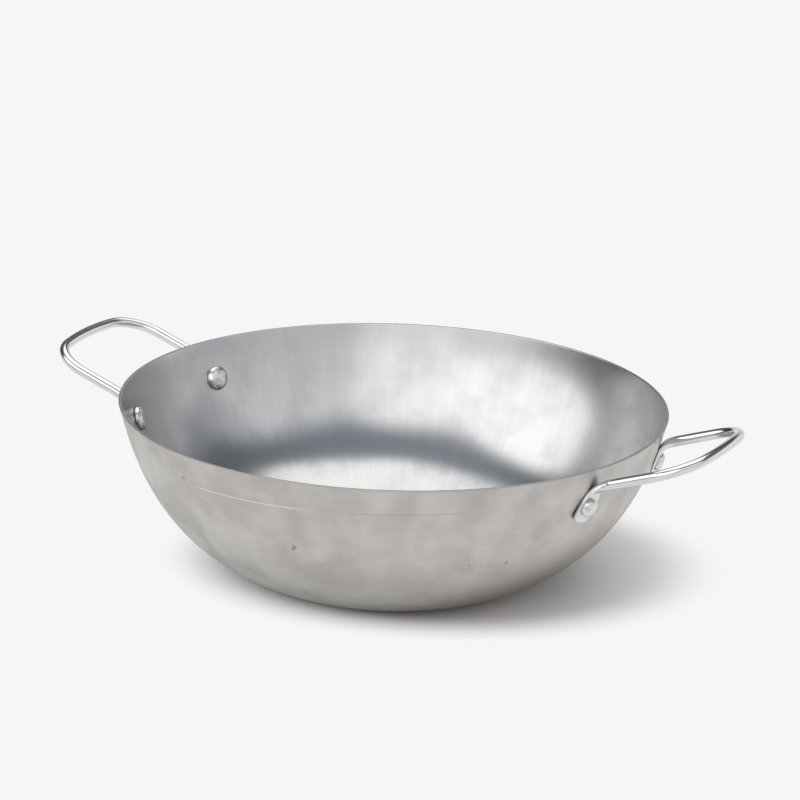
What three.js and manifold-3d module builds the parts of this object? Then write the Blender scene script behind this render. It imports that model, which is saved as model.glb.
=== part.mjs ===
// A flat-bottomed steel wok with two riveted loop handles.
//
// Millimetres, +Z up. The origin is the middle of the flat base, on the surface that the wok stands on.
// One handle points along +X and the other along -X.

import * as THREE from 'three';
import { mergeVertices } from 'three/addons/utils/BufferGeometryUtils.js';
import Module from 'manifold-3d';

// Bowl: one sheet of carbon steel, spun
const RIM_DIAMETER = 300; // outside of the cut rim
const BOWL_DEPTH = 96.7; // underside of the base to the rim
const SHEET = 1.5;
const BASE_DIAMETER = 124; // flat disc under the bowl
const KNUCKLE_RADIUS = 24; // outside radius between the base and the wall
const RIM_BAND = 23; // height of the straight band below the rim
const RIM_FLARE = 17.6; // degrees that the band leans out from upright

// Handles: one round rod each, with its ends pressed flat
const ROD_DIAMETER = 5.7;
const LOOP_REACH = 44.6; // rim to the middle of the grip bar, measured level
const LOOP_CORNER = 25.8; // radius at the middle of the rod
const LEG_RISE = 19.6; // degrees above level
const PADDLE_WIDTH = 12.8;
const PADDLE_THICKNESS = 2;
const PADDLE_CORNER = 5; // radius of the two corners at the paddle's end
const PADDLE_BELOW_RIVET = 10; // rivet to the end of the paddle
const PADDLE_ABOVE_RIVET = 7.4; // rivet to the start of the bend
const PADDLE_BEND = 12; // radius at the middle of the rod
const ROUND_ABOVE_RIVET = 18; // rivet to where the rod is round again

// Rivets: wide head inside the bowl, button head formed over the paddle
const RIVET_PITCH = 88.5; // between the two holes of a handle, on the outside of the wall
const RIVET_DROP = 21.2; // rim to the holes
const SHANK_DIAMETER = 5;
const INNER_HEAD_DIAMETER = 13.8;
const INNER_HEAD_FLAT = 6; // diameter of the flat on top
const INNER_HEAD_HEIGHT = 2.8;
const BUTTON_DIAMETER = 10.6;
const BUTTON_FLAT = 4;
const BUTTON_HEIGHT = 3;

// Fits
const SEAT_GAP = 0.3; // between faces that bear on each other
const HOLE_GAP = 0.3; // round the shank of a rivet

// Facets
const BOWL_FACETS = 72;
const KNUCKLE_STEPS = 3;
const WALL_STEPS = 12;
const ROD_SIDES = 12;
const PADDLE_CORNER_STEPS = 4;
const PADDLE_TAPER_STEPS = 6;
const PADDLE_BEND_STEPS = 7;
const LOOP_CORNER_STEPS = 8;
const RIVET_FACETS = 20;
const HEAD_STEPS = 4;

const X_AXIS = new THREE.Vector3(1, 0, 0);
const Y_AXIS = new THREE.Vector3(0, 1, 0);
const Z_AXIS = new THREE.Vector3(0, 0, 1);
const { degToRad, smoothstep, lerp } = THREE.MathUtils;

const wasm = await Module();
wasm.setup();

// A closed geometry as a solid for cutting. Triangles that a lathe pinches shut on its axis are left out.
function toSolid(geometry) {
  const bare = geometry.clone();
  bare.deleteAttribute('normal');
  bare.deleteAttribute('uv');
  const welded = mergeVertices(bare);
  const corners = [];
  for (let i = 0; i < welded.index.count; i += 3) {
    const triangle = [0, 1, 2].map((k) => welded.index.getX(i + k));
    if (new Set(triangle).size === 3) corners.push(...triangle);
  }
  const vertProperties = new Float32Array(welded.attributes.position.array);
  const triVerts = new Uint32Array(corners);
  return new wasm.Manifold(new wasm.Mesh({ numProp: 3, vertProperties, triVerts }));
}

function toGeometry(solid) {
  const { vertProperties, triVerts } = solid.getMesh();
  const geometry = new THREE.BufferGeometry();
  geometry.setAttribute('position', new THREE.BufferAttribute(vertProperties, 3));
  geometry.setIndex(new THREE.BufferAttribute(triVerts, 1));
  geometry.computeVertexNormals();
  return geometry;
}

function piece(name, solid, material) {
  const mesh = new THREE.Mesh(toGeometry(solid), material);
  mesh.name = name;
  return mesh;
}

// Bowl section. The straight band under the rim runs tangent into one wall arc, which runs tangent into the
// knuckle arc at the base. The wall arc follows from the sizes around it.
const rimRadius = RIM_DIAMETER / 2;
const flare = degToRad(RIM_FLARE);
const bandFoot = new THREE.Vector2(rimRadius - RIM_BAND * Math.tan(flare), BOWL_DEPTH - RIM_BAND);
const knuckleCentre = new THREE.Vector2(BASE_DIAMETER / 2, KNUCKLE_RADIUS);
const span = bandFoot.clone().sub(knuckleCentre);
const wallRadius =
  (span.lengthSq() - KNUCKLE_RADIUS ** 2) /
  (2 * (span.x * Math.cos(flare) - span.y * Math.sin(flare) - KNUCKLE_RADIUS));
const wallCentre = new THREE.Vector2(
  bandFoot.x - wallRadius * Math.cos(flare),
  bandFoot.y + wallRadius * Math.sin(flare),
);
const wallFootAngle = Math.atan2(knuckleCentre.x - wallCentre.x, wallCentre.y - knuckleCentre.y);

// Points on an arc about a centre, with the angle counted from straight down.
function arcPoints(centre, radius, from, to, steps) {
  return Array.from({ length: steps + 1 }, (_, i) => {
    const angle = lerp(from, to, i / steps);
    return new THREE.Vector2(centre.x + radius * Math.sin(angle), centre.y - radius * Math.cos(angle));
  });
}

// One face of the sheet from the axis to the rim, set in from the outside face by an inset.
function sheetFace(inset) {
  const knuckle = arcPoints(knuckleCentre, KNUCKLE_RADIUS - inset, 0, wallFootAngle, KNUCKLE_STEPS);
  const wall = arcPoints(wallCentre, wallRadius - inset, wallFootAngle, Math.PI / 2 - flare, WALL_STEPS);
  return [
    new THREE.Vector2(0, inset),
    ...knuckle,
    ...wall.slice(1),
    new THREE.Vector2(rimRadius - inset / Math.cos(flare), BOWL_DEPTH),
  ];
}

// Radius of the outside face at a height, and how far the wall leans out from upright there.
function wallAt(height) {
  if (height >= bandFoot.y) {
    return { radius: rimRadius - (BOWL_DEPTH - height) * Math.tan(flare), lean: flare };
  }
  const lean = Math.asin((wallCentre.y - height) / wallRadius);
  return { radius: wallCentre.x + wallRadius * Math.cos(lean), lean };
}

// Seat of a rivet of the +X handle on the outside face: its point, the wall's outward normal there, and the
// level line and the upward line along the wall. Side is 1 for the +Y rivet and -1 for the -Y one.
function rivetSeat(side) {
  const height = BOWL_DEPTH - RIVET_DROP;
  const { radius, lean } = wallAt(height);
  const turn = side * Math.asin(RIVET_PITCH / 2 / radius);
  const point = new THREE.Vector3(radius, 0, height).applyAxisAngle(Z_AXIS, turn);
  const normal = new THREE.Vector3(Math.cos(lean), 0, -Math.sin(lean)).applyAxisAngle(Z_AXIS, turn);
  const level = Y_AXIS.clone().applyAxisAngle(Z_AXIS, turn);
  const upward = new THREE.Vector3().crossVectors(normal, level);
  return { point, normal, level, upward };
}

// Rod as a cutter for the hole of a rivet, along the rivet's line and as long on both sides of its seat.
function rivetHole(seat, reach) {
  const radius = SHANK_DIAMETER / 2 + HOLE_GAP;
  const drill = new THREE.CylinderGeometry(radius, radius, 2 * reach, RIVET_FACETS);
  drill.applyQuaternion(new THREE.Quaternion().setFromUnitVectors(Y_AXIS, seat.normal));
  drill.translate(seat.point.x, seat.point.y, seat.point.z);
  return drill;
}

function bowlSolid() {
  const section = [...sheetFace(0), ...sheetFace(SHEET).reverse()];
  let bowl = toSolid(new THREE.LatheGeometry(section, BOWL_FACETS).rotateX(Math.PI / 2));
  for (const turn of [0, Math.PI]) {
    for (const side of [1, -1]) {
      bowl = bowl.subtract(toSolid(rivetHole(rivetSeat(side), 2 * SHEET).rotateZ(turn)));
    }
  }
  return bowl;
}

// Half of a handle's rod, from the end of the +Y paddle to the middle of the grip bar, as stations in the
// order in which a bender makes it. A station has the rod's middle, its direction, the level line across it
// and its distance above the rivet. The paddle bends away from the wall about the level line of its seat.
function halfRod() {
  const seat = rivetSeat(1);
  const leg = X_AXIS.clone().applyAxisAngle(Y_AXIS, -degToRad(LEG_RISE));
  const drift = leg.dot(seat.level);
  const ahead = seat.level.clone().multiplyScalar(drift);
  ahead.addScaledVector(seat.upward, Math.sqrt(1 - drift ** 2));
  const across = new THREE.Vector3().crossVectors(ahead, seat.normal);
  const at = seat.point.clone().addScaledVector(seat.normal, SEAT_GAP + ROD_DIAMETER / 2);
  at.addScaledVector(ahead, -PADDLE_BELOW_RIVET);
  let above = -PADDLE_BELOW_RIVET;
  const stations = [];

  const mark = () => stations.push({ at: at.clone(), ahead: ahead.clone(), across: across.clone(), above });
  const feed = (length) => {
    at.addScaledVector(ahead, length);
    above += length;
  };
  const bend = (radius, axis, angle, steps) => {
    const turn = angle / steps;
    for (let i = 0; i < steps; i++) {
      ahead.applyAxisAngle(axis, turn / 2);
      feed(2 * radius * Math.sin(turn / 2));
      ahead.applyAxisAngle(axis, turn / 2);
      across.applyAxisAngle(axis, turn);
      mark();
    }
  };

  // Paddle, with stations close together at its round corners and through its shoulder
  for (let i = 0; i <= PADDLE_CORNER_STEPS; i++) {
    const angle = (i / PADDLE_CORNER_STEPS) * (Math.PI / 2);
    feed(paddleCorner() * (1 - Math.cos(angle)) - PADDLE_BELOW_RIVET - above);
    mark();
  }
  for (let i = 0; i <= PADDLE_TAPER_STEPS; i++) {
    feed((PADDLE_ABOVE_RIVET * i) / PADDLE_TAPER_STEPS - above);
    mark();
  }

  // Bend off the wall, up to the line of the leg
  const flatAhead = ahead.clone().projectOnPlane(seat.level);
  const flatLeg = leg.clone().projectOnPlane(seat.level);
  bend(PADDLE_BEND, seat.level, flatAhead.angleTo(flatLeg), PADDLE_BEND_STEPS);

  // Leg, corner and half of the grip bar
  const levelLeft = rimRadius + LOOP_REACH - at.x;
  feed(levelLeft / Math.cos(degToRad(LEG_RISE)) - LOOP_CORNER);
  mark();
  const cornerAxis = new THREE.Vector3().crossVectors(ahead, Y_AXIS).negate().normalize();
  bend(LOOP_CORNER, cornerAxis, Math.PI / 2, LOOP_CORNER_STEPS);
  feed(at.y);
  mark();
  return stations;
}

// A corner is no rounder than the paddle's flat side allows.
function paddleCorner() {
  return Math.min(PADDLE_CORNER, (PADDLE_WIDTH - PADDLE_THICKNESS) / 2);
}

// Width and thickness of the rod at a distance above the rivet: round on the leg, wide and thin on the
// paddle, narrowed by the round corners at the paddle's end. The paddle is flat all under the button head.
function rodSection(above) {
  const corner = paddleCorner();
  const intoCorner = THREE.MathUtils.clamp(corner - above - PADDLE_BELOW_RIVET, 0, corner);
  const narrowed = 2 * (corner - Math.sqrt(corner ** 2 - intoCorner ** 2));
  const flatEnd = BUTTON_DIAMETER / 2 + SEAT_GAP;
  return {
    width: lerp(PADDLE_WIDTH, ROD_DIAMETER, smoothstep(above, 0, ROUND_ABOVE_RIVET)) - narrowed,
    thickness: lerp(PADDLE_THICKNESS, ROD_DIAMETER, smoothstep(above, flatEnd, ROUND_ABOVE_RIVET)),
  };
}

// Outline of the rod at a station, a round-ended bar with flat sides. Pressing moves the outer side only,
// so the back of the rod runs on in one line into the back of the paddle.
function rodRing({ at, ahead, across, above }) {
  const { width, thickness } = rodSection(above);
  const outward = new THREE.Vector3().crossVectors(across, ahead);
  const middle = at.clone().addScaledVector(outward, (thickness - ROD_DIAMETER) / 2);
  const edge = thickness / 2 / Math.cos(Math.PI / ROD_SIDES);
  return Array.from({ length: ROD_SIDES }, (_, i) => {
    const angle = ((i + 0.5) / ROD_SIDES) * 2 * Math.PI;
    const sideways = edge * Math.cos(angle) + Math.sign(Math.cos(angle)) * ((width - thickness) / 2);
    return middle
      .clone()
      .addScaledVector(across, sideways)
      .addScaledVector(outward, edge * Math.sin(angle));
  });
}

// Closed skin through a row of rings that all have the same number of points.
function loft(rings) {
  const sides = rings[0].length;
  const corners = [];
  for (let ring = 0; ring + 1 < rings.length; ring++) {
    for (let i = 0; i < sides; i++) {
      const here = ring * sides + i;
      const beside = ring * sides + ((i + 1) % sides);
      corners.push(here, here + sides, beside, here + sides, beside + sides, beside);
    }
  }
  const last = (rings.length - 1) * sides;
  for (let i = 1; i + 1 < sides; i++) {
    corners.push(0, i, i + 1, last, last + i + 1, last + i);
  }
  const geometry = new THREE.BufferGeometry().setFromPoints(rings.flat());
  geometry.setIndex(corners);
  return geometry;
}

function handleSolid() {
  const half = halfRod().map(rodRing);
  const mirrored = half.map((ring) => ring.map((p) => new THREE.Vector3(p.x, -p.y, p.z)));
  let handle = toSolid(loft([...half, ...mirrored.reverse().slice(1)]));
  for (const side of [1, -1]) {
    handle = handle.subtract(toSolid(rivetHole(rivetSeat(side), SEAT_GAP + 2 * PADDLE_THICKNESS)));
  }
  return handle;
}

// Rounded side of a rivet head, from the edge of its flat top to its full radius, as radius and fall.
function headSide(diameter, flat, height) {
  return Array.from({ length: HEAD_STEPS + 1 }, (_, i) => {
    const angle = (i / HEAD_STEPS) * (Math.PI / 2);
    const radius = lerp(flat, diameter, Math.sin(angle)) / 2;
    return { radius, fall: height * (1 - Math.cos(angle)) };
  });
}

// Rivet along +Y with the outside face of the wall at 0. The flat underside of the inner head stays clear
// of the hollow wall, which rises towards it at the head's edge.
function rivetSolid() {
  const rise = (INNER_HEAD_DIAMETER / 2) ** 2 / (2 * (wallRadius - SHEET));
  const innerSeat = -SHEET - rise - SEAT_GAP;
  const buttonSeat = SEAT_GAP + PADDLE_THICKNESS + SEAT_GAP;
  const innerTop = innerSeat - INNER_HEAD_HEIGHT;
  const buttonTop = buttonSeat + BUTTON_HEIGHT;
  const innerSide = headSide(INNER_HEAD_DIAMETER, INNER_HEAD_FLAT, INNER_HEAD_HEIGHT);
  const buttonSide = headSide(BUTTON_DIAMETER, BUTTON_FLAT, BUTTON_HEIGHT).reverse();
  const section = [
    new THREE.Vector2(0, innerTop),
    ...innerSide.map(({ radius, fall }) => new THREE.Vector2(radius, innerTop + fall)),
    new THREE.Vector2(SHANK_DIAMETER / 2, innerSeat),
    new THREE.Vector2(SHANK_DIAMETER / 2, buttonSeat),
    ...buttonSide.map(({ radius, fall }) => new THREE.Vector2(radius, buttonTop - fall)),
    new THREE.Vector2(0, buttonTop),
  ];
  return toSolid(new THREE.LatheGeometry(section, RIVET_FACETS));
}

const bowlSteel = new THREE.MeshStandardMaterial({ color: '#a9a7a3', roughness: 0.42, metalness: 1 });
const handleSteel = new THREE.MeshStandardMaterial({ color: '#d5d6d8', roughness: 0.08, metalness: 1 });
const rivetSteel = new THREE.MeshStandardMaterial({ color: '#bdbcb9', roughness: 0.3, metalness: 1 });

// A handle with its two rivets, turned about the axis of the bowl to its side.
function handleSet(sideName, turn) {
  const set = new THREE.Group();
  set.rotation.z = turn;
  set.add(piece(`handle_${sideName}`, handleSolid(), handleSteel));
  for (const side of [1, -1]) {
    const seat = rivetSeat(side);
    const facing = side * Math.cos(turn) > 0 ? 'back' : 'front';
    const rivet = piece(`rivet_${sideName}_${facing}`, rivetSolid(), rivetSteel);
    rivet.position.copy(seat.point);
    rivet.quaternion.setFromUnitVectors(Y_AXIS, seat.normal);
    set.add(rivet);
  }
  return set;
}

const wok = new THREE.Group();
wok.add(piece('wok_bowl', bowlSolid(), bowlSteel));
wok.add(handleSet('right', 0), handleSet('left', Math.PI));

export default wok;
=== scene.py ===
import math
from typing import NamedTuple

import bmesh
import bpy
from mathutils import Matrix, Quaternion, Vector
from mathutils.geometry import interpolate_bezier


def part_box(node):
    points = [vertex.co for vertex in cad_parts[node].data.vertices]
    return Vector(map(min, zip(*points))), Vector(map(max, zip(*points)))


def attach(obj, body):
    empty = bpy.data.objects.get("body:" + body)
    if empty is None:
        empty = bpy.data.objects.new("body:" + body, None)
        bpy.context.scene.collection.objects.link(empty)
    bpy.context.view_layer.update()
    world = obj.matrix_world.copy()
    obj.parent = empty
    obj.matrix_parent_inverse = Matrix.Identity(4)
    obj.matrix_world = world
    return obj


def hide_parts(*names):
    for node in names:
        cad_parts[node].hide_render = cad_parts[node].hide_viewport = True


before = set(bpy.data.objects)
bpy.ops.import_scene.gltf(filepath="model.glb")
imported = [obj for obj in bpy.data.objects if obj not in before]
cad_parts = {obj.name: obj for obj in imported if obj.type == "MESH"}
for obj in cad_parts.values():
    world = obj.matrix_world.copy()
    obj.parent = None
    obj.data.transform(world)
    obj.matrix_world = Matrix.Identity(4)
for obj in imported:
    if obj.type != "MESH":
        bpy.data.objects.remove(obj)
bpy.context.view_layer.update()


# Bowl
# One disc of bare carbon steel, spun over a former into a flat-bottomed bowl with a plain cut rim. Four
# holes are drilled for the rivets, and handling has left a long scratch round the outside under the rim.
# The outside is left as it came off the former, and the inside is brushed up and down the wall.
RIM_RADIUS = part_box("wok_bowl")[1].x
BOWL_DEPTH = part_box("wok_bowl")[1].z
SHEET = 0.0015
BASE_RADIUS = 0.062
KNUCKLE_RADIUS = 0.024
KNUCKLE_TURN = math.radians(16.7)
RIM_FLARE = math.radians(17.6)
RIM_LEAN = math.radians(16)
WALL_LOW_PULL = 0.0652
WALL_RIM_PULL = 0.021
RIM_EASE = 0.00035
RIVET_PITCH = 0.0885
RIVET_DROP = 0.0212
HOLE_RADIUS = 0.0028
BOWL_SIDES = 288
WALL_STEPS = 48
KNUCKLE_STEPS = 8
EASE_STEPS = 4
EASE_MARGIN = 1.5
HOLE_SIDES = 32


def eased(before, corner, after, radius):
    """The corner of a section with its edge rounded, and a point just past each end of the rounding."""
    one = (before - corner).normalized()
    two = (after - corner).normalized()
    half = one.angle(two) / 2
    reach = radius / math.tan(half)
    centre = corner + (one + two).normalized() * (radius / math.sin(half))
    start = corner + one * reach - centre
    end = corner + two * reach - centre
    turned = [start.lerp(end, i / EASE_STEPS).normalized() * radius for i in range(EASE_STEPS + 1)]
    margin = reach * EASE_MARGIN
    return [corner + one * margin, *(centre + p for p in turned), corner + two * margin]


def sheet_face(inset):
    """One face of the sheet, from the middle of the base to the rim, set in from the outside face. The wall
    is one curve that starts along the knuckle's end and straightens towards the rim."""
    knuckle_centre = Vector((BASE_RADIUS, KNUCKLE_RADIUS))
    turns = [KNUCKLE_TURN * i / KNUCKLE_STEPS for i in range(KNUCKLE_STEPS + 1)]
    face_radius = KNUCKLE_RADIUS - inset
    knuckle = [knuckle_centre + Vector((math.sin(t), -math.cos(t))) * face_radius for t in turns]
    foot = knuckle_centre + Vector((math.sin(KNUCKLE_TURN), -math.cos(KNUCKLE_TURN))) * KNUCKLE_RADIUS
    rim = Vector((RIM_RADIUS, BOWL_DEPTH))
    low_pull = foot + Vector((math.cos(KNUCKLE_TURN), math.sin(KNUCKLE_TURN))) * WALL_LOW_PULL
    rim_pull = rim - Vector((math.sin(RIM_LEAN), math.cos(RIM_LEAN))) * WALL_RIM_PULL
    curve = [p.to_2d() for p in interpolate_bezier(foot, low_pull, rim_pull, rim, WALL_STEPS)]
    wall = []
    for below, here, above in zip(curve, curve[1:], curve[2:]):
        along_curve = (above - below).normalized()
        wall.append(here + Vector((-along_curve.y, along_curve.x)) * inset)
    return [Vector((0, inset)), *knuckle, *wall, rim - Vector((inset / math.cos(RIM_LEAN), 0))]


def turned_rings(section, sides):
    """Rings of points about Z through the points of a section, with a tip where it meets the axis."""
    turns = [2 * math.pi * i / sides for i in range(sides)]
    rings = []
    for p in section:
        ring = [Vector((p.x * math.cos(t), p.x * math.sin(t), p.y)) for t in turns]
        rings.append(ring if p.x else [Vector((0, 0, p.y))])
    return rings


def closed_mesh(name, rings):
    """A smooth mesh through rings of points, in order. A ring of one point closes the mesh to a tip."""
    mesh = bmesh.new()
    rows = [[mesh.verts.new(point) for point in ring] for ring in rings]
    for low, high in zip(rows, rows[1:]):
        sides = max(len(low), len(high))
        for i in range(sides):
            j = (i + 1) % sides
            corners = [low[i % len(low)], low[j % len(low)], high[j % len(high)], high[i % len(high)]]
            mesh.faces.new(list(dict.fromkeys(corners)))
    for end in (rows[0], rows[-1]):
        if len(end) > 1:
            mesh.faces.new(end)
    bmesh.ops.recalc_face_normals(mesh, faces=mesh.faces)
    made = bpy.data.meshes.new(name)
    mesh.to_mesh(made)
    mesh.free()
    made.shade_smooth()
    return made


def add_piece(name, mesh):
    piece = bpy.data.objects.new(name, mesh)
    bpy.context.scene.collection.objects.link(piece)
    return piece


class Seat(NamedTuple):
    """A rivet's point on the outside of the wall, and the wall's normal, level and upward lines there."""

    point: Vector
    normal: Vector
    level: Vector
    upward: Vector


def rivet_seat(turn, side):
    """The seat of one rivet of the handle that is turned from +X. Side is 1 or -1 along the rim."""
    radius = RIM_RADIUS - RIVET_DROP * math.tan(RIM_FLARE)
    round_axis = Matrix.Rotation(turn + side * math.asin(RIVET_PITCH / 2 / radius), 3, "Z")
    point = round_axis @ Vector((radius, 0, BOWL_DEPTH - RIVET_DROP))
    normal = round_axis @ Vector((math.cos(RIM_FLARE), 0, -math.sin(RIM_FLARE)))
    level = round_axis @ Vector((0, 1, 0))
    return Seat(point, normal, level, normal.cross(level))


def drill(piece, seats, reach):
    """Drills a hole along each seat's normal through a piece."""
    for seat in seats:
        ends = [seat.point - seat.normal * reach, seat.point + seat.normal * reach]
        turns = [2 * math.pi * i / HOLE_SIDES for i in range(HOLE_SIDES)]
        ring = [(seat.level * math.cos(t) + seat.upward * math.sin(t)) * HOLE_RADIUS for t in turns]
        cutter = add_piece("drill", closed_mesh("drill", [[end + p for p in ring] for end in ends]))
        hole = piece.modifiers.new("hole", "BOOLEAN")
        hole.operation = "DIFFERENCE"
        hole.solver = "EXACT"
        hole.object = cutter
        drilled = piece.evaluated_get(bpy.context.evaluated_depsgraph_get())
        piece.data = bpy.data.meshes.new_from_object(drilled)
        piece.modifiers.clear()
        bpy.data.objects.remove(cutter)


RIGHT, LEFT = 0, math.pi
outside = sheet_face(0)
inside = sheet_face(SHEET)
outer_edge = eased(outside[-2], outside[-1], inside[-1], RIM_EASE)
inner_edge = eased(outside[-1], inside[-1], inside[-2], RIM_EASE)
bowl_section = [*outside[:-1], *outer_edge, *inner_edge, *reversed(inside[:-1])]
bowl = add_piece("bowl", closed_mesh("bowl", turned_rings(bowl_section, BOWL_SIDES)))


class Wire:
    """A socket in a node tree. Arithmetic on wires adds the Math nodes that work it out."""

    def __init__(self, tree, socket=None):
        self.tree = tree
        self.socket = socket

    def node(self, kind, settings, inputs, output=0):
        """Adds a node, sets it up, gives its inputs their values or wires, and returns one output."""
        made = self.tree.nodes.new(f"ShaderNode{kind}")
        for name, setting in settings.items():
            setattr(made, name, setting)
        for name, value in inputs.items():
            if isinstance(value, Wire):
                self.tree.links.new(value.socket, made.inputs[name])
            else:
                made.inputs[name].default_value = value
        return Wire(self.tree, made.outputs[output])

    def math(self, operation, *values):
        return self.node("Math", {"operation": operation}, dict(enumerate(values)))

    def __add__(self, other):
        return self.math("ADD", self, other)

    def __sub__(self, other):
        return self.math("SUBTRACT", self, other)

    def __rsub__(self, other):
        return self.math("SUBTRACT", other, self)

    def __mul__(self, other):
        return self.math("MULTIPLY", self, other)

    def __truediv__(self, other):
        return self.math("DIVIDE", self, other)

    def __rtruediv__(self, other):
        return self.math("DIVIDE", other, self)

    def __pow__(self, other):
        return self.math("POWER", self, other)

    __radd__ = __add__
    __rmul__ = __mul__

    def between(self, low, high):
        """0 at low and 1 at high, with a soft change between. Low may be the larger."""
        softly = {"interpolation_type": "SMOOTHSTEP"}
        return self.node("MapRange", softly, {"Value": self, "From Min": low, "From Max": high})

    def mix(self, one, two):
        """The first colour where this value is 0, and the second where it is 1."""
        return self.node("Mix", {"data_type": "RGBA"}, {0: self, 6: one, 7: two}, 2)

    def noise(self, lump, detail=2):
        """A soft noise over this place, about 0.3 to 0.7, with lumps of about the given size in metres."""
        return self.node("TexNoise", {}, {"Vector": self, "Scale": 1 / lump, "Detail": detail})

    def relief(self):
        """The normal of a surface that stands this many metres proud."""
        return self.node("Bump", {}, {"Height": self, "Distance": 1})

    def feed(self, socket):
        self.tree.links.new(self.socket, socket)


def new_metal(name):
    """A bare metal, its shader, and the place on the piece that its marks follow."""
    metal = bpy.data.materials.new(name)
    metal.use_nodes = True
    shader = metal.node_tree.nodes["Principled BSDF"]
    shader.inputs["Metallic"].default_value = 1
    return metal, shader, Wire(metal.node_tree).node("TexCoord", {}, {}, "Object")


def parts(place):
    """A place's X, Y and Z."""
    return [place.node("SeparateXYZ", {}, {0: place}, axis) for axis in "XYZ"]


def along_wall(place, squash):
    """A place laid out round the rim, with its height times the squash: marks run up and down the wall
    where that is under 1, and round it where it is over 1."""
    x, y, z = parts(place)
    share = RIM_RADIUS / (x**2 + y**2) ** 0.5
    return place.node("CombineXYZ", {}, {"X": x * share, "Y": y * share, "Z": z * squash})


OUTER_GREY = (0.63, 0.61, 0.586, 1)
OUTER_DULL = (0.50, 0.48, 0.459, 1)
OUTER_SPOT = (0.30, 0.285, 0.265, 1)
# Painted shade: the colour the outer wall darkens to near the base, standing in for the floor's shadow
# reflected there.
OUTER_PAINTED_LOW_SHADE = (0.255, 0.242, 0.23, 1)
PAINTED_LOW_SHADE_TOP = 0.065
PAINTED_LOW_SHADE_FULL = -0.005
OUTER_ROUGHNESS = 0.32
OUTER_CLOUD = 0.022
OUTER_SMEAR = 0.016
ROLLER_MARK = 0.02
OUTER_GRAIN = 0.0011
SPOT = 0.0065
SPOT_PATCH = 0.045
OUTER_WAVE = 0.05
OUTER_WAVE_HEIGHT = 0.00018
ROLLER_MARK_HEIGHT = 0.000006
OUTER_GRAIN_HEIGHT = 0.000012
CUT_EDGE = (0.42, 0.41, 0.40, 1)
CUT_EDGE_DEPTH = 0.0004
# Painted highlight: the scratch's colour, far brighter than the steel, standing in for the light its groove
# catches.
SCRATCH_PAINTED_HIGHLIGHT = (0.93, 0.91, 0.88, 1)
SCRATCH_TURN = math.radians(-95)
SCRATCH_HALF_RUN = math.radians(17)
SCRATCH_DROP = 0.0165
SCRATCH_CLIMB = 0.0034
SCRATCH_HALF_WIDTH = 0.0003
HAIRLINE_TURN = math.radians(-60)
HAIRLINE_HALF_RUN = math.radians(14)


def outer_finish():
    """Satin steel, cloudy from handling, with painted shade that darkens it towards the base in place of the
    shadowed floor that it reflects there, a few small dark spots, faint marks of the roller, and one long
    scratch, coloured bright as a painted highlight, that climbs a little round the wall and runs out in a
    dark hairline. The cut edge is dull."""
    metal, shader, place = new_metal("outer_steel")
    x, y, height = parts(place)
    cloud = place.noise(OUTER_CLOUD, 4).between(0.36, 0.66)
    smear = along_wall(place, 0.5).noise(OUTER_SMEAR, 3).between(0.4, 0.68)
    roller = along_wall(place, 7).noise(ROLLER_MARK, 3).between(0.35, 0.65)
    grain = place.noise(OUTER_GRAIN)
    spot = place.noise(SPOT, 3).between(0.68, 0.75) * place.noise(SPOT_PATCH).between(0.46, 0.56)
    turn = y.math("ARCTAN2", y, x)
    line_height = BOWL_DEPTH - SCRATCH_DROP + SCRATCH_CLIMB * (turn - SCRATCH_TURN)
    off_line = height.math("ABSOLUTE", height - line_height)
    line = off_line.between(1.5 * SCRATCH_HALF_WIDTH, 0.5 * SCRATCH_HALF_WIDTH)
    scratch_and_highlight, hairline = [
        line * turn.math("ABSOLUTE", turn - middle).between(half_run, 0.6 * half_run)
        for middle, half_run in ((SCRATCH_TURN, SCRATCH_HALF_RUN), (HAIRLINE_TURN, HAIRLINE_HALF_RUN))
    ]
    edge = height.between(BOWL_DEPTH - 1.5 * CUT_EDGE_DEPTH, BOWL_DEPTH - CUT_EDGE_DEPTH)
    dull = 0.55 * cloud + 0.25 * smear + 0.12 * roller + 0.25 * grain
    # Painted shade: darker towards the base, in place of the reflection of the shadowed floor.
    low = height.between(PAINTED_LOW_SHADE_TOP, PAINTED_LOW_SHADE_FULL)
    colour = spot.mix(low.mix(dull.mix(OUTER_GREY, OUTER_DULL), OUTER_PAINTED_LOW_SHADE), OUTER_SPOT)
    # The scratch is a real mark, but its bright colour is a painted highlight for the light its groove
    # catches.
    colour = (0.4 * hairline).mix((0.6 * scratch_and_highlight).mix(colour, SCRATCH_PAINTED_HIGHLIGHT), OUTER_SPOT)
    edge.mix(colour, CUT_EDGE).feed(shader.inputs["Base Color"])
    (OUTER_ROUGHNESS + 0.07 * cloud + 0.08 * grain + 0.1 * spot).feed(shader.inputs["Roughness"])
    wave = place.noise(OUTER_WAVE)
    proud = wave * OUTER_WAVE_HEIGHT + roller * ROLLER_MARK_HEIGHT + grain * OUTER_GRAIN_HEIGHT
    proud.relief().feed(shader.inputs["Normal"])
    return metal


INNER_GREY = (0.577, 0.578, 0.582, 1)
INNER_DULL = (0.47, 0.472, 0.478, 1)
INNER_SMUDGE = (0.46, 0.467, 0.478, 1)
INNER_ROUGHNESS = 0.2
INNER_ANISOTROPY = 0.65
BRUSH_SQUASH = 0.012
BRUSH_LINE = 0.0014
BRUSH_STREAK = 0.006
INNER_CLOUD = 0.022
SMUDGE = 0.019
SMUDGE_FOOT = 0.03
SMUDGE_TOP = 0.085
HANDLED_FOOT = 0.8 * BOWL_DEPTH
INNER_WAVE = 0.045
INNER_WAVE_HEIGHT = 0.00001
BRUSH_STREAK_HEIGHT = 0.000002


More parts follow.
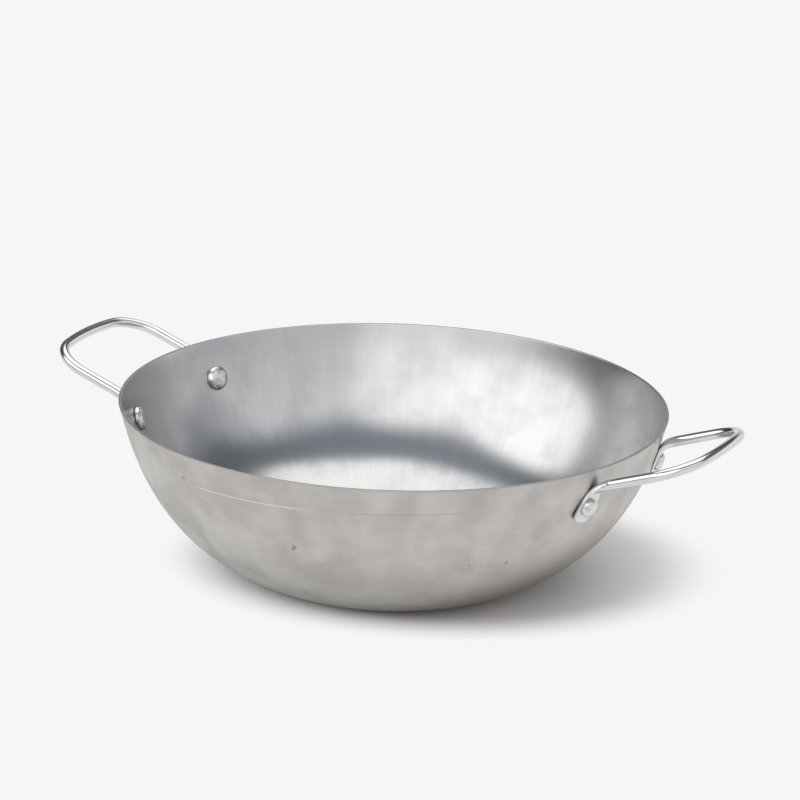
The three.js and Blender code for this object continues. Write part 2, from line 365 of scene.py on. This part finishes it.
def inner_finish():
    """Steel brushed up and down the wall, a little dull along the rim, with soft smudges high up on it."""
    metal, shader, place = new_metal("inner_steel")
    up_wall = along_wall(place, BRUSH_SQUASH)
    height = parts(place)[2]
    brush = up_wall.noise(BRUSH_LINE)
    streak = up_wall.noise(BRUSH_STREAK).between(0.35, 0.65)
    cloud = place.noise(INNER_CLOUD, 4).between(0.4, 0.68)
    upper = height.between(SMUDGE_FOOT, SMUDGE_TOP)
    smudge = along_wall(place, 0.7).noise(SMUDGE, 2).between(0.4, 0.86) * upper
    handled = height.between(HANDLED_FOOT, BOWL_DEPTH)
    dull = 0.55 * cloud + 0.18 * streak + 0.3 * brush
    brushed = dull.mix(INNER_GREY, INNER_DULL)
    (0.5 * smudge + 0.45 * handled).mix(brushed, INNER_SMUDGE).feed(shader.inputs["Base Color"])
    (INNER_ROUGHNESS + 0.04 * cloud + 0.03 * brush + 0.06 * smudge).feed(shader.inputs["Roughness"])
    shader.inputs["Anisotropic"].default_value = INNER_ANISOTROPY
    wave = place.noise(INNER_WAVE)
    (wave * INNER_WAVE_HEIGHT + streak * BRUSH_STREAK_HEIGHT).relief().feed(shader.inputs["Normal"])
    return metal


for metal in (outer_finish(), inner_finish()):
    bowl.data.materials.append(metal)
bowl_middle = Vector((0, 0, BOWL_DEPTH / 2))
for face in bowl.data.polygons:
    face.material_index = int(face.normal.dot(face.center - bowl_middle) < 0)
drill(bowl, [rivet_seat(turn, side) for turn in (RIGHT, LEFT) for side in (1, -1)], 2 * SHEET)
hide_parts("wok_bowl")
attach(bowl, "root")


# Handles
# Each is one steel rod with bright plating, bent to a loop with a slightly bowed grip. Its two ends are
# pressed flat to paddles, bent down to lie along the wall, and drilled for the rivets that clamp them there.
ROD = 0.0057
LOOP_REACH = 0.0446
LOOP_CORNER = 0.023
GRIP_BOW = math.radians(8)
LEG_RISE = math.radians(19.6)
PADDLE_WIDTH = 0.0128
PADDLE_THICKNESS = 0.002
PADDLE_CORNER = 0.005
PADDLE_BELOW_RIVET = 0.010
PADDLE_ABOVE_RIVET = 0.0074
PADDLE_BEND = 0.012
PADDLE_FLAT_END = 0.0056
PADDLE_SQUARENESS = 5
PADDLE_EDGE = 0.0008
PADDLE_TIP_SHARE = 0.2
ROUND_ABOVE_RIVET = 0.018
SEAT_GAP = 0.0003
ROD_SIDES = 40
END_STEPS = 14
SHOULDER_STEPS = 14
PADDLE_BEND_STEPS = 18
CORNER_STEPS = 28
GRIP_STEPS = 10


class Bender:
    """A rod on its way through a bender: where it has come to, which way it runs, and the marks along it."""

    def __init__(self, at, ahead, across, above):
        self.at = at
        self.ahead = ahead
        self.across = across
        self.above = above
        self.marks = []

    def mark(self):
        self.marks.append((self.at.copy(), self.ahead.copy(), self.across.copy(), self.above))

    def feed(self, length):
        self.at = self.at + self.ahead * length
        self.above += length

    def bend(self, radius, axis, angle, steps):
        half_turn = Quaternion(axis, angle / steps / 2)
        for _ in range(steps):
            self.ahead = half_turn @ self.ahead
            self.feed(2 * radius * math.sin(angle / steps / 2))
            self.ahead = half_turn @ self.ahead
            self.across = half_turn @ half_turn @ self.across
            self.mark()


def smooth(value, low, high):
    """0 at low, 1 at high, with a soft start and end."""
    share = min(max((value - low) / (high - low), 0), 1)
    return share * share * (3 - 2 * share)


def half_rod():
    """Marks along half of the +X handle's rod, from the end of the +Y paddle to the middle of the grip."""
    seat = rivet_seat(RIGHT, 1)
    leg = Vector((math.cos(LEG_RISE), 0, math.sin(LEG_RISE)))
    drift = leg.dot(seat.level)
    ahead = seat.level * drift + seat.upward * math.sqrt(1 - drift**2)
    start = seat.point + seat.normal * (SEAT_GAP + ROD / 2) - ahead * PADDLE_BELOW_RIVET
    rod = Bender(start, ahead, ahead.cross(seat.normal), -PADDLE_BELOW_RIVET)
    for i in range(END_STEPS + 1):
        along = PADDLE_CORNER * (1 - math.cos(math.pi / 2 * i / END_STEPS))
        rod.feed(along - PADDLE_BELOW_RIVET - rod.above)
        rod.mark()
    for i in range(SHOULDER_STEPS + 1):
        rod.feed(PADDLE_ABOVE_RIVET * i / SHOULDER_STEPS - rod.above)
        rod.mark()
    flat_ahead = rod.ahead - seat.level * rod.ahead.dot(seat.level)
    flat_leg = leg - seat.level * drift
    rod.bend(PADDLE_BEND, seat.level, flat_ahead.angle(flat_leg), PADDLE_BEND_STEPS)
    bow_radius = (rod.at.y - LOOP_CORNER * (1 - math.sin(GRIP_BOW))) / math.sin(GRIP_BOW)
    loop_end = LOOP_CORNER * math.cos(GRIP_BOW) + bow_radius * (1 - math.cos(GRIP_BOW))
    rod.feed((RIM_RADIUS + LOOP_REACH - rod.at.x) / math.cos(LEG_RISE) - loop_end)
    rod.mark()
    loop_axis = Vector((0, 1, 0)).cross(rod.ahead).normalized()
    rod.bend(LOOP_CORNER, loop_axis, math.pi / 2 - GRIP_BOW, CORNER_STEPS)
    rod.bend(bow_radius, loop_axis, GRIP_BOW, GRIP_STEPS)
    return rod.marks


def rod_ring(at, ahead, across, above):
    """The outline of the rod at a mark: round on the leg, wide and thin with soft edges on the paddle."""
    into_end = min(max(PADDLE_CORNER - above - PADDLE_BELOW_RIVET, 0), PADDLE_CORNER)
    narrowed = 2 * (PADDLE_CORNER - math.sqrt(PADDLE_CORNER**2 - into_end**2))
    width = PADDLE_WIDTH + (ROD - PADDLE_WIDTH) * smooth(above, 0, ROUND_ABOVE_RIVET) - narrowed
    pressed = 1 - smooth(above, PADDLE_FLAT_END, ROUND_ABOVE_RIVET)
    full = ROD + (PADDLE_THICKNESS - ROD) * pressed
    into_edge = min(max(PADDLE_EDGE - above - PADDLE_BELOW_RIVET, 0), PADDLE_EDGE) / PADDLE_EDGE
    thickness = full * (PADDLE_TIP_SHARE + (1 - PADDLE_TIP_SHARE) * math.sqrt(1 - into_edge**2))
    power = 2 / (2 + (PADDLE_SQUARENESS - 2) * pressed)
    outward = across.cross(ahead)
    middle = at + outward * ((full - ROD) / 2)
    ring = []
    for i in range(ROD_SIDES):
        turn = 2 * math.pi * (i + 0.5) / ROD_SIDES
        sideways = math.copysign(abs(math.cos(turn)) ** power, math.cos(turn)) * width / 2
        outwards = math.copysign(abs(math.sin(turn)) ** power, math.sin(turn)) * thickness / 2
        ring.append(middle + across * sideways + outward * outwards)
    return ring


PLATING = (0.70, 0.705, 0.71, 1)
PLATING_DULL = (0.60, 0.605, 0.61, 1)
PLATING_ROUGHNESS = 0.05
PLATING_CLOUD = 0.009
PLATING_SCUFF = 0.0016
PLATING_WAVE = 0.007
PLATING_WAVE_HEIGHT = 0.00001


def bright_plating():
    """Bright plating, a little cloudy in places, that follows the small waves of the bent rod."""
    metal, shader, place = new_metal("bright_plating")
    cloud = place.noise(PLATING_CLOUD, 3).between(0.45, 0.7)
    scuff = place.noise(PLATING_SCUFF, 2).between(0.5, 0.75)
    (0.5 * cloud + 0.3 * scuff).mix(PLATING, PLATING_DULL).feed(shader.inputs["Base Color"])
    (PLATING_ROUGHNESS + 0.05 * cloud + 0.06 * scuff).feed(shader.inputs["Roughness"])
    (place.noise(PLATING_WAVE) * PLATING_WAVE_HEIGHT).relief().feed(shader.inputs["Normal"])
    return metal


half = [rod_ring(*mark) for mark in half_rod()]
mirrored = [[Vector((p.x, -p.y, p.z)) for p in ring] for ring in half]
plating = bright_plating()
for name, turn in (("right", RIGHT), ("left", LEFT)):
    handle = add_piece(f"loop_{name}", closed_mesh(f"loop_{name}", [*half, *reversed(mirrored[:-1])]))
    drill(handle, [rivet_seat(RIGHT, side) for side in (1, -1)], SEAT_GAP + 2 * PADDLE_THICKNESS)
    handle.data.transform(Matrix.Rotation(turn, 4, "Z"))
    handle.data.materials.append(plating)
    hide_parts(f"handle_{name}")
    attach(handle, "root")


# Rivets
# Four solid steel rivets clamp the paddles to the wall. A wide flat-topped head lies inside the bowl, and a
# smaller button is hammered over the paddle outside.
SHANK_RADIUS = 0.0025
INNER_HEAD_RADIUS = 0.0069
INNER_HEAD_FLAT = 0.003
INNER_HEAD_HEIGHT = 0.0028
BUTTON_RADIUS = 0.0053
BUTTON_FLAT = 0.002
BUTTON_HEIGHT = 0.003
SKIRT_GAP = 0.00003  # between a head and what it presses on
WALL_HOLLOW = 0.00022  # from the middle of an inner head to the round wall beside it
RIVET_SIDES = 48
HEAD_STEPS = 14

inner_seat = -SHEET - WALL_HOLLOW - SEAT_GAP
button_seat = SEAT_GAP + PADDLE_THICKNESS + SEAT_GAP


def head_side(radius, flat, height):
    """The rounded side of a head, from its flat top to its full radius, as radius and fall."""
    turns = [math.pi / 2 * i / HEAD_STEPS for i in range(HEAD_STEPS + 1)]
    return [Vector((flat + (radius - flat) * math.sin(t), height * (1 - math.cos(t)))) for t in turns]


inner_side = head_side(INNER_HEAD_RADIUS, INNER_HEAD_FLAT, INNER_HEAD_HEIGHT)
button_side = head_side(BUTTON_RADIUS, BUTTON_FLAT, BUTTON_HEIGHT)
inner_top = inner_seat - INNER_HEAD_HEIGHT
button_top = button_seat + BUTTON_HEIGHT
rivet_section = [
    Vector((0, inner_top)),
    *(Vector((p.x, inner_top + p.y)) for p in inner_side),
    Vector((INNER_HEAD_RADIUS, inner_seat + SEAT_GAP - SKIRT_GAP)),
    Vector((SHANK_RADIUS, inner_seat + SEAT_GAP - SKIRT_GAP)),
    Vector((SHANK_RADIUS, button_seat - SEAT_GAP + SKIRT_GAP)),
    Vector((BUTTON_RADIUS, button_seat - SEAT_GAP + SKIRT_GAP)),
    *(Vector((p.x, button_top - p.y)) for p in reversed(button_side)),
    Vector((0, button_top)),
]

RIVET_GREY = (0.74, 0.74, 0.735, 1)
RIVET_DULL = (0.56, 0.56, 0.555, 1)
RIVET_ROUGHNESS = 0.24
HAMMER_DENT = 0.0022
HAMMER_DENT_HEIGHT = 0.00015
RIVET_DIRT = 0.0035


def rivet_finish():
    """Plain satin steel, dented a little by the hammer that set it."""
    metal, shader, place = new_metal("rivet_steel")
    dent = place.noise(HAMMER_DENT, 2)
    dirt = place.noise(RIVET_DIRT, 3).between(0.45, 0.65)
    dirt.mix(RIVET_GREY, RIVET_DULL).feed(shader.inputs["Base Color"])
    (RIVET_ROUGHNESS + 0.12 * dirt).feed(shader.inputs["Roughness"])
    (dent * HAMMER_DENT_HEIGHT).relief().feed(shader.inputs["Normal"])
    return metal


rivet_steel = rivet_finish()
for hand, turn in (("right", RIGHT), ("left", LEFT)):
    for side in (1, -1):
        seat = rivet_seat(turn, side)
        seated = Matrix((seat.level, seat.upward, seat.normal)).transposed().to_4x4()
        seated.translation = seat.point
        end = "back" if side * math.cos(turn) > 0 else "front"
        mesh = closed_mesh(f"clamp_{hand}_{end}", turned_rings(rivet_section, RIVET_SIDES))
        mesh.transform(seated)
        rivet = add_piece(f"clamp_{hand}_{end}", mesh)
        rivet.data.materials.append(rivet_steel)
        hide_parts(f"rivet_{hand}_{end}")
        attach(rivet, "root")


# Camera
# It stands well back with a long lens, a little above the rim, and is turned round the wok so that the
# right handle comes towards it.
VIEW_AZIMUTH = math.radians(26.57)
VIEW_ELEVATION = math.radians(17.69)
VIEW_DISTANCE = 2.37
VIEW_FOCAL_PIXELS = 4348
PHOTO_PIXELS = 800
SENSOR_WIDTH = 36
VIEW_END = 100
AIM_RIGHT = math.radians(0.079)
AIM_UP = math.radians(0.030)
AIM_ROLL = math.radians(1.80)

lens = bpy.data.cameras.new("camera")
lens.sensor_width = SENSOR_WIDTH
lens.lens = VIEW_FOCAL_PIXELS / PHOTO_PIXELS * SENSOR_WIDTH
lens.clip_end = VIEW_END
camera = bpy.data.objects.new("camera", lens)
bpy.context.scene.collection.objects.link(camera)
stand = Matrix.Rotation(VIEW_AZIMUTH, 4, "Z") @ Matrix.Rotation(math.pi / 2 - VIEW_ELEVATION, 4, "X")
aim = (
    Matrix.Rotation(-AIM_RIGHT, 4, "Y")
    @ Matrix.Rotation(AIM_UP, 4, "X")
    @ Matrix.Rotation(AIM_ROLL, 4, "Z")
)
rim_middle = Vector((0, 0, BOWL_DEPTH))
away = stand.to_3x3() @ Vector((0, 0, VIEW_DISTANCE))
camera.matrix_world = Matrix.Translation(rim_middle + away) @ stand @ aim
bpy.context.scene.camera = camera
bpy.context.scene.view_settings.view_transform = "Standard"


# Floor
# A sheet of pale matt paper on a lit table, much wider than the view. The table's light is masked off under
# the wok and a little to its right, so that the wok's shadow lies there and fades out around it.
FLOOR_HALF = 40
FLOOR_PAPER = (0.905, 0.88, 0.865, 1)
FLOOR_SHOWN = (0.92, 0.92, 0.92, 1)
MASK_RIGHT = 0.030
MASK_BACK = 0.018
MASK_HALF_WIDTH = 0.135
MASK_HALF_DEPTH = 0.110
MASK_SOFTNESS = 0.19


def along(place, direction):
    """How far a place or a look goes along a direction."""
    return place.node("VectorMath", {"operation": "DOT_PRODUCT"}, {0: place, 1: direction}, "Value")


corners = [(x * FLOOR_HALF, y * FLOOR_HALF, 0) for x, y in ((-1, -1), (1, -1), (1, 1), (-1, 1))]
floor_mesh = bpy.data.meshes.new("floor")
floor_mesh.from_pydata(corners, [], [(0, 1, 2, 3)])
floor = add_piece("floor", floor_mesh)
paper = bpy.data.materials.new("pale_paper")
paper.use_nodes = True
paper.node_tree.nodes.remove(paper.node_tree.nodes["Principled BSDF"])
place = Wire(paper.node_tree).node("TexCoord", {}, {}, "Object")
to_view = Matrix.Rotation(VIEW_AZIMUTH, 3, "Z")
rightwards = (along(place, to_view @ Vector((1, 0, 0))) - MASK_RIGHT) / MASK_HALF_WIDTH
backwards = (along(place, to_view @ Vector((0, 1, 0))) - MASK_BACK) / MASK_HALF_DEPTH
from_mask = (rightwards**2 + backwards**2) ** 0.5
table_lit = from_mask.between(1 - MASK_SOFTNESS, 1 + MASK_SOFTNESS)
ray_kinds = ("Is Camera Ray", "Is Glossy Ray", "Is Transmission Ray")
seen = sum(place.node("LightPath", {}, {}, kind) for kind in ray_kinds)
matt = place.node("BsdfDiffuse", {}, {"Color": FLOOR_PAPER})
glow = place.node("Emission", {}, {"Color": FLOOR_SHOWN})
shown = place.node("MixShader", {}, {0: table_lit * seen.math("MINIMUM", seen, 1), 1: matt, 2: glow})
shown.feed(paper.node_tree.nodes["Material Output"].inputs["Surface"])
floor.data.materials.append(paper)


# Studio light
# Large soft panels in a dim room: three in a row from the left, the strongest, round behind the camera to
# the right, hiding each other where they meet, a weak low one further right, a low one at the back, and an
# oval one overhead that leans to the back. All are far away, so the floor is evenly lit.
ROOM_LOW = 0.04
ROOM_RISE = 0.36
ROOM_TINT = (0.90, 0.975, 1.10, 1)
PANEL_TINT = (1, 0.995, 0.985, 1)
LEFT_PANEL = 1.65
MIDDLE_PANEL = 1.42
RIGHT_PANEL = 0.8
SIDE_PANEL = 0.26
TOP_PANEL = 1.22
BACK_PANEL = 0.7
PANEL_FACING = 0.1

world = bpy.data.worlds.new("studio")
bpy.context.scene.world = world
world.use_nodes = True
look = Wire(world.node_tree).node("TexCoord", {}, {}, "Generated")


def soft_panel(heading, height, half_width, half_height, softness, squareness=4):
    """A soft-edged panel of light, 1 inside and 0 outside: an oval at squareness 2, squarer above. Its
    heading is counted to the right from straight behind the wok as the camera sees it, and its sizes are in
    degrees."""
    turn = math.pi / 2 + VIEW_AZIMUTH - math.radians(heading)
    facing = Matrix.Rotation(turn, 3, "Z") @ Matrix.Rotation(-math.radians(height), 3, "Y")
    ahead, across, up = (along(look, facing @ Vector(axis)) for axis in ((1, 0, 0), (0, 1, 0), (0, 0, 1)))
    sideways = across.math("ARCTAN2", across, ahead) / math.radians(half_width)
    upwards = up.math("ARCTAN2", up, ahead) / math.radians(half_height)
    from_middle = (sideways**squareness + upwards**squareness) ** (1 / squareness)
    return ahead.between(0, PANEL_FACING) * from_middle.between(1 + softness, 1 - softness)


left = soft_panel(heading=-115, height=30.5, half_width=41, half_height=20.5, softness=0.22)
middle = soft_panel(heading=-170, height=29, half_width=28, half_height=24.5, softness=0.34)
right = soft_panel(heading=132, height=24, half_width=43, half_height=23, softness=0.35)
low_side = soft_panel(heading=66, height=12, half_width=28, half_height=13, softness=0.3)
overhead = soft_panel(heading=10, height=70, half_width=35.5, half_height=35, softness=0.1, squareness=2)
low_back = soft_panel(heading=28, height=4, half_width=58, half_height=15, softness=0.25)
row = look.math("MAXIMUM", MIDDLE_PANEL * middle, RIGHT_PANEL * right)
row = look.math("MAXIMUM", LEFT_PANEL * left, row)
panels = row + SIDE_PANEL * low_side + TOP_PANEL * overhead + BACK_PANEL * low_back
light = panels + ROOM_LOW + ROOM_RISE * along(look, Vector((0, 0, 1))) ** 2
light.feed(world.node_tree.nodes["Background"].inputs["Strength"])
tint = panels.between(0, 1).mix(ROOM_TINT, PANEL_TINT)
tint.feed(world.node_tree.nodes["Background"].inputs["Color"])
